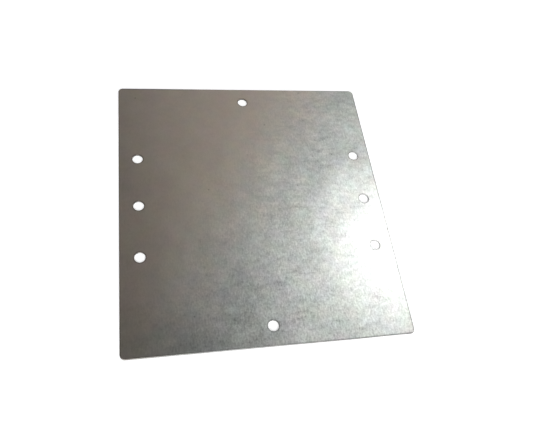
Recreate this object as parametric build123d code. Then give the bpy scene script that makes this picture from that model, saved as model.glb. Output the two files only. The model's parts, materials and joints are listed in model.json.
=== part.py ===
from build123d import *
import os

# Rectangular cover plate, cut and punched from zinc-coated sheet steel.  Millimetres.
# It lies on its back face.  The origin is the centre of that face, +X runs across the
# plate, +Y along its longer side and +Z up to the front face.

# Blank
plate_width = 232.0
plate_height = 254.0
sheet_thickness = 1.5
corner_radius = 4.0

# Screw holes: a column down each side, and one in the middle of each end
hole_diameter = 8.7
side_hole_inset = 16.0      # hole centres from the side edges
side_hole_pitch = 47.0
side_hole_count = 3
end_hole_inset = 16.0       # hole centres from the end edges

# Cut edges of the blank
front_edge_round = 0.5      # drawn down as the blank is cut
back_edge_round = 0.2       # where the burr has been taken off

# Punching, as shares of the sheet thickness
mouth_roll_share = 0.2      # height of the mouth that the punch draws down
tear_share = 0.45           # height of the band that tears out at the back
die_clearance_share = 0.06  # what that band gains in radius on its way to the back face


def blank():
    """The flat sheet with its rounded corners, its front and back edges eased."""
    outline = RectangleRounded(plate_width, plate_height, corner_radius)
    sheet = extrude(outline, amount=sheet_thickness)
    faces = sheet.faces().sort_by(Axis.Z)
    thickest_round = 0.45 * sheet_thickness
    sheet = fillet(faces[-1].edges(), min(front_edge_round, thickest_round))
    back_edges = sheet.faces().sort_by(Axis.Z)[0].edges()
    return fillet(back_edges, min(back_edge_round, thickest_round))


def punched_hole():
    """The space a punch leaves: a torn band that narrows from the back face, a parallel
    band, and a mouth rolled over into the front face."""
    radius = hole_diameter / 2
    torn_radius = radius + die_clearance_share * sheet_thickness
    tear_top = tear_share * sheet_thickness
    mouth_roll = mouth_roll_share * sheet_thickness
    overrun = sheet_thickness
    wall = Polyline(
        (0, -overrun),
        (torn_radius, -overrun),
        (torn_radius, 0),
        (radius, tear_top),
        (radius, sheet_thickness - mouth_roll),
    )
    mouth = JernArc(wall @ 1, (0, 1), mouth_roll, -90)
    cap = Polyline(
        mouth @ 1,
        ((mouth @ 1).X, sheet_thickness + overrun),
        (0, sheet_thickness + overrun),
        (0, -overrun),
    )
    section = make_face([wall, mouth, cap])
    return revolve(Plane.XZ * section, Axis.Z)


def hole_places():
    """Both columns of side holes, then the hole in the middle of each end."""
    across = plate_width - 2 * side_hole_inset
    along = plate_height - 2 * end_hole_inset
    side_holes = GridLocations(across, side_hole_pitch, 2, side_hole_count)
    end_holes = GridLocations(plate_width, along, 1, 2)
    return [*side_holes, *end_holes]


cover_plate = blank() - [place * punched_hole() for place in hole_places()]

os.makedirs("parts", exist_ok=True)
export_step(cover_plate, "parts/cover_plate.step")
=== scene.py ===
"""Looks of the zinc-coated cover plate: its finish, the studio round it, and the camera."""

import json
import math

import bpy
import numpy as np
from mathutils import Matrix, Vector


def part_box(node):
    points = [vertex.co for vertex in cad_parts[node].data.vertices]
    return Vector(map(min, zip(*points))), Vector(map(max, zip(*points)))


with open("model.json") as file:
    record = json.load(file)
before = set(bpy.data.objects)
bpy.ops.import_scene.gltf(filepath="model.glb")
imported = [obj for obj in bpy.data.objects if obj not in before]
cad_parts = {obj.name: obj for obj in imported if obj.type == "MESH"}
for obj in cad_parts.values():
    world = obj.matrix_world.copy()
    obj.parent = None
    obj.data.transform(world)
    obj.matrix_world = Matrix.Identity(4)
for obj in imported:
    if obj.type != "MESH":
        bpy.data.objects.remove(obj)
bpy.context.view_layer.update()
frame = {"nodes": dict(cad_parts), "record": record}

MM = 0.001

# The plate, from the frame
PLATE = frame["nodes"]["cover_plate"]
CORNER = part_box("cover_plate")[1]
HALF_WIDTH, HALF_HEIGHT, FRONT = CORNER

# Screw holes of one quarter of the plate, from the record's bolt patterns
PATTERNS = {mount["name"]: mount["dims"] for mount in frame["record"]["mounts"]}
HOLE_RADIUS = PATTERNS["end_holes"]["hole_r_mm"] * MM
SIDE_X = PATTERNS["side_hole_corners"]["spacing_x_mm"] / 2 * MM
SIDE_Y = PATTERNS["side_hole_corners"]["spacing_y_mm"] / 2 * MM
END_Y = PATTERNS["end_holes"]["spacing_y_mm"] / 2 * MM
HOLE_PLACES = [(SIDE_X, SIDE_Y, 0.0), (SIDE_X, 0.0, 0.0), (0.0, END_Y, 0.0)]

# A faint bulge beside the middle screw hole on the right
BULGE_PLACE = (0.072, 0.022, FRONT)
BULGE_RADIUS = 0.017
BULGE_HEIGHT = 0.35 * MM

# A spot of painted shade below the upper screw hole on the right
SHADE_SPOT_PLACE = (0.094, 0.052, FRONT)
SHADE_SPOT_RADIUS = 0.018

# Camera: a 35 mm lens close above the plate's lower left corner
LENS_MM = 34.8
CAMERA_PLACE = Vector((-0.0845, -0.2178, FRONT + 0.3858))
CAMERA_AIM = Vector((0.0062, -0.0221, FRONT))
CAMERA_ROLL = math.radians(19.6)

# Finish
BARE_ZINC = (0.505, 0.525, 0.50, 1.0)
# Brown at the upper left: partly a thin film, partly a painted warm reflection
FILM_AND_WARM_REFLECTION_ZINC = (0.575, 0.495, 0.415, 1.0)
CUT_STEEL = (0.16, 0.155, 0.15, 1.0)
# Painted highlight: the paler cut-edge colour in the glare at the right, and where that glare starts
# and ends along x
GLARE_LIT_STEEL = (0.62, 0.62, 0.62, 1.0)
# Painted shade along the top edge at the left
TOP_EDGE_SHADE_COLOUR = (0.19, 0.2, 0.23, 1.0)
GLARE_START, GLARE_END = 0.06, 0.1
RIM_WIDTH = 1.4 * MM
ROUGHNESS = 0.40
COAT_WEIGHT = 0.8
COAT_ROUGHNESS = 0.15
WAVE_HEIGHT = 0.25 * MM

# Studio
FLOOR_RADIUS = 4.0
FLOOR_FLAT_RADIUS = 1.6
FLOOR_RISE = 0.35            # height gained beyond the flat, per square metre
FLOOR_RINGS = 40
FLOOR_SPOKES = 96
FLOOR_COLOUR = (0.86, 0.86, 0.86, 1.0)
FLOOR_GLOW = 0.5             # lifts the floor to white where it is seen or mirrored


# ---------------------------------------------------------------- node building

class Value:
    """A number that varies over a surface: its operators add Math nodes."""

    def __init__(self, tree, socket):
        self.tree = tree
        self.socket = socket

    def math(self, operation, *others, clamp=False):
        node = self.tree.nodes.new("ShaderNodeMath")
        node.operation = operation
        node.use_clamp = clamp
        for entry, value in zip(node.inputs, (self, *others)):
            if isinstance(value, Value):
                self.tree.links.new(value.socket, entry)
            else:
                entry.default_value = value
        return Value(self.tree, node.outputs[0])

    def __add__(self, other):
        return self.math("ADD", other)

    __radd__ = __add__

    def __mul__(self, other):
        return self.math("MULTIPLY", other)

    __rmul__ = __mul__

    def __sub__(self, other):
        return self.math("SUBTRACT", other)

    def __rsub__(self, other):
        return (self * -1.0) + other

    def __truediv__(self, other):
        return self.math("DIVIDE", other)

    def __rtruediv__(self, other):
        return self.math("POWER", -1.0) * other

    def __pow__(self, other):
        return self.math("POWER", other)

    def __neg__(self):
        return self * -1.0

    def size(self):
        return self.math("ABSOLUTE")

    def clamped(self):
        return self.math("ADD", 0.0, clamp=True)

    def step(self, low, high):
        """0 below low, 1 above high, and a smooth rise between them."""
        node = self.tree.nodes.new("ShaderNodeMapRange")
        node.interpolation_type = "SMOOTHSTEP"
        self.tree.links.new(self.socket, node.inputs["Value"])
        node.inputs["From Min"].default_value = low
        node.inputs["From Max"].default_value = high
        return Value(self.tree, node.outputs["Result"])


class Nodes:
    """A node tree, and the one method that adds a node to it."""

    def __init__(self, tree):
        self.tree = tree
        self.tree.nodes.clear()

    def add(self, kind, settings=(), **sockets):
        """A node of that kind. Settings are set first, then sockets, whose names have _ for a space."""
        node = self.tree.nodes.new("ShaderNode" + kind)
        for name, value in dict(settings).items():
            setattr(node, name, value)
        for name, value in sockets.items():
            self.feed(node.inputs[name.replace("_", " ")], value)
        return node

    def feed(self, entry, value):
        if isinstance(value, Value):
            value = value.socket
        if isinstance(value, bpy.types.NodeSocket):
            self.tree.links.new(value, entry)
        else:
            entry.default_value = value

    def value(self, node, output=0):
        return Value(self.tree, node.outputs[output])

    def mix(self, low, high, factor):
        """The colour low where factor is 0 and high where it is 1."""
        node = self.add("Mix", {"data_type": "RGBA"})
        self.feed(node.inputs[0], factor)
        self.feed(node.inputs[6], low)
        self.feed(node.inputs[7], high)
        return node.outputs[2]

    def scaled(self, colour, factor):
        """The colour multiplied by that factor."""
        node = self.add("VectorMath", {"operation": "SCALE"})
        self.feed(node.inputs[0], colour)
        self.feed(node.inputs["Scale"], factor)
        return node.outputs[0]

    def distance(self, place, centre):
        """How far each place is from that centre."""
        node = self.add("VectorMath", {"operation": "DISTANCE"}, Vector=place)
        node.inputs[1].default_value = centre
        return self.value(node, "Value")

    def spot(self, place, centre, radius):
        """1 at the centre, falling away as a bell over that radius."""
        spread = self.distance(place, centre) / radius
        return (spread ** 2.0 * -1.0).math("EXPONENT")

    def placed(self, place, patch, stretch=(1.0, 1.0, 1.0), offset=(0.0, 0.0, 0.0)):
        """Coordinates that count patches of that size, longer along each axis by its stretch."""
        scale = tuple(1.0 / (patch * s) for s in stretch)
        return self.add("Mapping", Vector=place, Location=offset, Scale=scale).outputs[0]

    def noise(self, place, stretch, patch, detail=2.0, offset=(0.0, 0.0, 0.0)):
        """Noise from -1 to 1 in such patches."""
        moved = self.placed(place, patch, stretch, offset)
        node = self.add("TexNoise", Vector=moved, Scale=1.0, Detail=detail)
        return self.value(node, "Fac") * 2.0 - 1.0


# ---------------------------------------------------------------- finishes

def dark_pits(nodes, place):
    """1 in a few small pits, one to a cell at most."""
    cells = nodes.add(
        "TexVoronoi",
        {"voronoi_dimensions": "2D"},
        Vector=nodes.placed(place, 20 * MM),
        Scale=1.0,
    )
    chosen = nodes.value(nodes.add("SeparateXYZ", Vector=cells.outputs["Color"]), "X")
    return (1.0 - nodes.value(cells, "Distance").step(0.02, 0.055)) * chosen.step(0.9, 0.91)


def hole_rims(nodes, place):
    """1 round the mouths of the screw holes. The plate is folded into one quarter first."""
    quarter = nodes.add("VectorMath", {"operation": "ABSOLUTE"}, Vector=place).outputs[0]
    flat = nodes.add("VectorMath", {"operation": "MULTIPLY"}, Vector=quarter)
    flat.inputs[1].default_value = (1.0, 1.0, 0.0)
    distances = [nodes.distance(flat.outputs[0], centre) for centre in HOLE_PLACES]
    nearest = distances[0]
    for distance in distances[1:]:
        nearest = nearest.math("MINIMUM", distance)
    return 1.0 - nearest.step(HOLE_RADIUS + 0.4 * MM, HOLE_RADIUS + 1.5 * MM)


def zinc_coated_steel():
    """Dull zinc: streaked and mottled where it is bare, smooth and brown at the upper left under a thin
    film and a painted warm reflection, with pits, soft waves, and darker rims and cut edges. The rims
    are partly worn and partly painted shade, and painted shade and highlight fall across the plate."""
    material = bpy.data.materials.new("zinc_coated_steel")
    material.use_nodes = True
    nodes = Nodes(material.node_tree)
    coordinates = nodes.add("TexCoord")
    place = coordinates.outputs["Object"]
    axes = nodes.add("SeparateXYZ", Vector=place)
    x, y = nodes.value(axes, "X"), nodes.value(axes, "Y")
    facing = nodes.value(nodes.add("SeparateXYZ", Vector=coordinates.outputs["Normal"]), "Z").size()
    cut_edge = 1.0 - facing.step(0.25, 0.8)
    eased_edge = 1.0 - facing.step(0.6, 0.995)

    # Noises, from the broadest to the finest
    waves = nodes.noise(place, (1.0, 1.3, 1.0), 45 * MM, detail=1.0, offset=(7.0, 2.0, 0.0))
    clouds = nodes.noise(place, (1.2, 0.9, 1.0), 34 * MM, detail=3.0)
    patches = nodes.noise(place, (1.0, 1.0, 1.0), 14 * MM, detail=3.0, offset=(3.0, 1.0, 0.0))
    smudges = nodes.noise(place, (4.0, 1.0, 1.0), 5 * MM, detail=2.0, offset=(8.0, 3.0, 0.0))
    mottle = nodes.noise(place, (1.5, 1.0, 1.0), 4.5 * MM, detail=2.0, offset=(1.0, 5.0, 0.0))
    flecks = nodes.noise(place, (1.0, 1.0, 1.0), 1.4 * MM, detail=1.0, offset=(2.0, 9.0, 0.0))
    streaks = nodes.noise(place, (1.0, 2.6, 1.0), 1.3 * MM, detail=1.0, offset=(6.0, 4.0, 0.0))
    hues = nodes.add("TexNoise", Vector=nodes.placed(place, 12 * MM), Scale=1.0, Detail=0.0)

    # Where the zinc is bare, where the film and the painted warm reflection lie, and which rims are
    # rubbed and painted with shade
    bare = (x * 4.31 - y * 2.36 + 0.8 + clouds * 0.10).step(0.5, 1.05)
    # Partly a thin film, partly a painted warm reflection
    film_and_warm_reflection = (y * 10.5 - x * 16.0 - 0.25 + clouds * 0.6 + patches * 0.3).step(-1.0, 1.0)
    from_side = HALF_WIDTH - x.size()
    from_end = HALF_HEIGHT - y.size()
    from_top = HALF_HEIGHT - y
    edge_rim = 1.0 - from_side.math("MINIMUM", from_end).step(0.2 * MM, RIM_WIDTH)
    # Rims of the plate and its holes: partly worn, partly painted shade of their rolled edges
    worn_and_shaded_rim = edge_rim.math("MAXIMUM", hole_rims(nodes, place))
    # Painted shade: a dark band along the top edge at the left
    top_edge_shade = (1.0 - from_top.step(0.5 * MM, 2.0 * MM)) * (-x).step(0.03, 0.07)
    # Painted highlight and shade: where the glare lies, at the right
    in_glare = x.step(GLARE_START, GLARE_END)

    grain = (flecks * 0.28 + streaks * 0.34) * (1.0 - y * 1.5)
    tone = grain + mottle * 0.28 + patches * 0.17 + clouds * 0.12
    shade = 1.0 + tone * (bare * 0.8 + 0.2)
    shade = shade - smudges.step(0.1, 0.5) * bare * 0.18 - dark_pits(nodes, place) * 0.3
    # Painted shade: rims darker, and the plate's rims darker still at the right beside the glare
    shade = shade * (1.0 - worn_and_shaded_rim * 0.42) * (1.0 - edge_rim * in_glare * 0.4)

    # Painted shade and light: broad differences in brightness that the lamps alone don't make, darker
    # at the lower end, the left side and one spot, a little lighter at the lower right
    low_end = (-y).step(0.07, 0.127)
    right_half = x.step(-0.06, 0.01)
    left_side = (-x).step(0.05, 0.12)
    shade = shade * (1.0 - low_end * (0.18 - right_half * 0.24)) * (1.0 - left_side * 0.14)
    shade = shade * (1.0 - nodes.spot(place, SHADE_SPOT_PLACE, SHADE_SPOT_RADIUS) * 0.22)

    # Painted highlight: cut edges are painted paler at the right, where the glare lies
    cut_colour_with_glare = nodes.mix(CUT_STEEL, GLARE_LIT_STEEL, in_glare)
    colour = nodes.mix(BARE_ZINC, FILM_AND_WARM_REFLECTION_ZINC, film_and_warm_reflection)
    colour = nodes.mix(colour, hues.outputs["Color"], 0.05)
    colour = nodes.scaled(colour, shade)
    colour = nodes.mix(colour, TOP_EDGE_SHADE_COLOUR, top_edge_shade * 0.7)
    colour = nodes.mix(colour, cut_colour_with_glare, (eased_edge * 0.5).math("MAXIMUM", cut_edge))

    bulge = nodes.spot(place, BULGE_PLACE, BULGE_RADIUS)
    relief = (streaks + flecks) * 0.010 + mottle * 0.02
    height = waves * WAVE_HEIGHT + bulge * BULGE_HEIGHT + relief * MM
    bump = nodes.add("Bump", Height=height, Strength=1.0, Distance=1.0)

    shader = nodes.add(
        "BsdfPrincipled",
        Base_Color=colour,
        Metallic=1.0,
        Roughness=ROUGHNESS + patches * 0.02 + mottle * bare * 0.02 + cut_edge * 0.2,
        Coat_Weight=COAT_WEIGHT * (1.0 - worn_and_shaded_rim * 0.6),
        Coat_Roughness=COAT_ROUGHNESS,
        Normal=bump.outputs["Normal"],
    )
    nodes.add("OutputMaterial", Surface=shader.outputs["BSDF"])
    return material


def seen_or_mirrored(nodes):
    """1 for rays from the camera, and for those that a mirror or a glass sends on."""
    path = nodes.add("LightPath")
    rays = [nodes.value(path, f"Is {kind} Ray") for kind in ("Camera", "Glossy", "Transmission")]
    return (rays[0] + rays[1] + rays[2]).clamped()


def studio_white():
    """Pale matt floor, lifted to white where it is seen, so that it keeps a soft shadow."""
    material = bpy.data.materials.new("studio_white")
    material.use_nodes = True
    nodes = Nodes(material.node_tree)
    matt = nodes.add("BsdfDiffuse", Color=FLOOR_COLOUR)
    glow = nodes.add("Emission", Strength=seen_or_mirrored(nodes) * FLOOR_GLOW)
    both = nodes.add("AddShader")
    nodes.feed(both.inputs[0], matt.outputs[0])
    nodes.feed(both.inputs[1], glow.outputs[0])
    nodes.add("OutputMaterial", Surface=both.outputs[0])
    return material


# ---------------------------------------------------------------- studio

def studio_floor():
    """A shallow round bowl: flat round the plate, then rising as the square of the distance
    beyond the flat. Its rings are spaced evenly, and the first one closes on a centre point."""
    radius = np.linspace(0.0, FLOOR_RADIUS, FLOOR_RINGS + 1)[1:]
    angle = np.linspace(0.0, math.tau, FLOOR_SPOKES, endpoint=False)
    r, a = np.meshgrid(radius, angle, indexing="ij")
    rise = FLOOR_RISE * np.clip(r - FLOOR_FLAT_RADIUS, 0.0, None) ** 2
    rings = np.stack([r * np.cos(a), r * np.sin(a), rise], axis=-1).reshape(-1, 3)
    index = 1 + np.arange(r.size).reshape(r.shape)
    onward = np.roll(index, -1, axis=1)
    bands = np.stack([index[:-1], index[1:], onward[1:], onward[:-1]], axis=-1).reshape(-1, 4)
    centre = np.stack([np.zeros_like(index[0]), index[0], onward[0]], axis=-1)
    mesh = bpy.data.meshes.new("studio_floor")
    mesh.from_pydata([(0.0, 0.0, 0.0), *rings.tolist()], [], [*centre.tolist(), *bands.tolist()])
    mesh.shade_smooth()
    mesh.materials.append(studio_white())
    floor = bpy.data.objects.new("studio_floor", mesh)
    bpy.context.scene.collection.objects.link(floor)


def softbox(name, azimuth, elevation, distance, size, radiance):
    """A square area lamp turned to the plate. Azimuth is from +Y towards +X, in degrees."""
    a, e = math.radians(azimuth), math.radians(elevation)
    towards = Vector((math.sin(a) * math.cos(e), math.cos(a) * math.cos(e), math.sin(e)))
    lamp = bpy.data.lights.new(name, "AREA")
    lamp.size = size
    lamp.energy = radiance * math.pi * size**2
    holder = bpy.data.objects.new(name, lamp)
    holder.location = towards * distance
    holder.rotation_mode = "QUATERNION"
    holder.rotation_quaternion = towards.to_track_quat("Z", "Y")
    holder.visible_camera = False
    bpy.context.scene.collection.objects.link(holder)


def surround():
    """A soft grey studio, lighter on the side of the main softbox."""
    world = bpy.data.worlds.new("studio")
    world.use_nodes = True
    bpy.context.scene.world = world
    nodes = Nodes(world.node_tree)
    direction = nodes.add("SeparateXYZ", Vector=nodes.add("TexCoord").outputs["Generated"])
    x, y = nodes.value(direction, "X"), nodes.value(direction, "Y")
    level = (0.01 + x * 0.58 + y * 0.40).math("MAXIMUM", 0.05).math("MINIMUM", 0.75)
    background = nodes.add("Background", Color=(1.0, 1.0, 1.0, 1.0), Strength=level)
    nodes.add("OutputWorld", Surface=background.outputs[0])


def camera():
    lens = bpy.data.cameras.new("camera")
    lens.lens = LENS_MM
    lens.clip_start = 0.01
    holder = bpy.data.objects.new("camera", lens)
    look = (CAMERA_AIM - CAMERA_PLACE).to_track_quat("-Z", "Y").to_matrix().to_4x4()
    holder.matrix_world = Matrix.Translation(CAMERA_PLACE) @ look @ Matrix.Rotation(CAMERA_ROLL, 4, "Z")
    bpy.context.scene.collection.objects.link(holder)
    bpy.context.scene.camera = holder


finish = zinc_coated_steel()
for material_slot in PLATE.material_slots:
    material_slot.material = finish

studio_floor()
surround()
softbox("window_softbox", azimuth=58.5, elevation=52.0, distance=1.5, size=0.38, radiance=9.6)
softbox("fill_softbox", azimuth=188, elevation=32, distance=2.2, size=2.0, radiance=3.8)
camera()

bpy.context.scene.view_settings.view_transform = "Standard"
